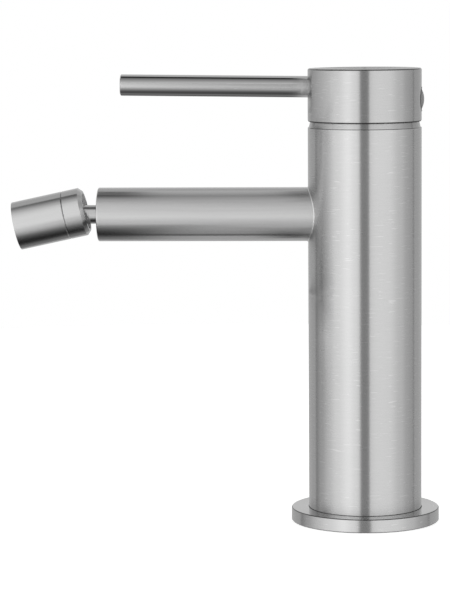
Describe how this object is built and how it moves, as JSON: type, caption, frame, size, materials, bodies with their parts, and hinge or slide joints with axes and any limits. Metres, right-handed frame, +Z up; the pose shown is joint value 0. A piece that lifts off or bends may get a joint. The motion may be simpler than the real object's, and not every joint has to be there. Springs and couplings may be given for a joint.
{
  "type": "bidet mixer",
  "caption": "Single-lever bidet mixer: a round column on a base ring, with a straight spout, a ball-jointed swivel nozzle and a pin lever on a tilting hub.",
  "frame": {"origin": "centre of the base ring's underside, on the deck plane and on the column's axis", "axes": "+Z up along the column, -X along the spout and the lever, towards the user; +Y is the hot side"},
  "size_m": [0.1591, 0.055, 0.1685],
  "materials": {
    "brushed_steel": "fine brushed stainless steel, brushed round each tube",
    "steel_trim": "satin steel of the dome collar, ball and stem",
    "inner_steel": "plain machined steel of the spindle, pin and stud",
    "brass": "machined brass of the insert, waterway and nut",
    "copper": "drawn copper of the supply tubes",
    "rubber": "matt black rubber of the seals",
    "ceramic": "lapped white ceramic of the discs",
    "white_plastic": "moulded acetal of the cartridge and seats",
    "grey_plastic": "grey moulded plastic of the aerator",
    "button_plastic": "dark grey polished plastic of the index button",
    "screen_steel": "woven steel of the aerator screens"
  },
  "bodies": {
    "mixer_body": {"base_flange": "brushed_steel", "deck_seal": "rubber", "column_body": "brushed_steel", "base_insert": "brass", "insert_seal": "rubber", "hot_supply_tube": "copper", "cold_supply_tube": "copper", "tube_seals": "rubber", "waterway_body": "brass", "spout_tube": "brushed_steel", "spout_liner": "copper", "spout_plug": "steel_trim", "liner_seal": "rubber", "cartridge_base": "white_plastic", "port_seals": "rubber", "fixed_disc": "ceramic", "cartridge_housing": "white_plastic", "retaining_nut": "brass", "dome_collar": "steel_trim", "ball_stem": "steel_trim"},
    "turning_core": {"rotor": "white_plastic", "pivot_pin": "inner_steel", "rotor_seal": "rubber"},
    "disc_carriage": {"moving_disc": "ceramic", "disc_carrier": "white_plastic"},
    "lever": {"spindle": "inner_steel", "lever_hub": "brushed_steel", "lever_rod": "brushed_steel", "lever_stud": "inner_steel", "index_button": "button_plastic"},
    "rear_seat_link": {"rear_ball_seat": "white_plastic"},
    "front_seat_link": {"front_ball_seat": "white_plastic"},
    "nozzle": {"swivel_collar": "brushed_steel", "nozzle_sleeve": "brushed_steel", "seat_seal": "rubber", "aerator_washer": "rubber", "aerator_cup": "grey_plastic", "flow_regulator": "white_plastic", "aerator_screens": "screen_steel"}
  },
  "joints": [
    {"name": "lever_turn", "type": "hinge", "parent": "mixer_body", "child": "turning_core", "pos_m": [0, 0, 0.1374], "axis": [0, 0, 1], "range_deg": [-50, 50]},
    {"name": "lever_tilt", "type": "hinge", "parent": "turning_core", "child": "lever", "pos_m": [0, 0, 0.1374], "axis": [0, 1, 0], "range_deg": [0, 25]},
    {"name": "disc_slide", "type": "slide", "parent": "turning_core", "child": "disc_carriage", "axis": [-1, 0, 0], "range_m": [0, 0.00315]},
    {"name": "nozzle_yaw", "type": "hinge", "parent": "mixer_body", "child": "rear_seat_link", "pos_m": [-0.11, 0, 0.1147], "axis": [0, 0, 1], "range_deg": [-17, 17]},
    {"name": "nozzle_pitch", "type": "hinge", "parent": "rear_seat_link", "child": "front_seat_link", "pos_m": [-0.11, 0, 0.1147], "axis": [0, 1, 0], "range_deg": [-4.8, 29.2]},
    {"name": "nozzle_spin", "type": "hinge", "parent": "front_seat_link", "child": "nozzle", "pos_m": [-0.11, 0, 0.1147], "axis": [-0.9774, 0, -0.2113], "continuous": true}
  ],
  "couplings": [
    {"joint": "disc_slide", "follows": "lever_tilt", "m_per_rad": 0.0071675}
  ]
}
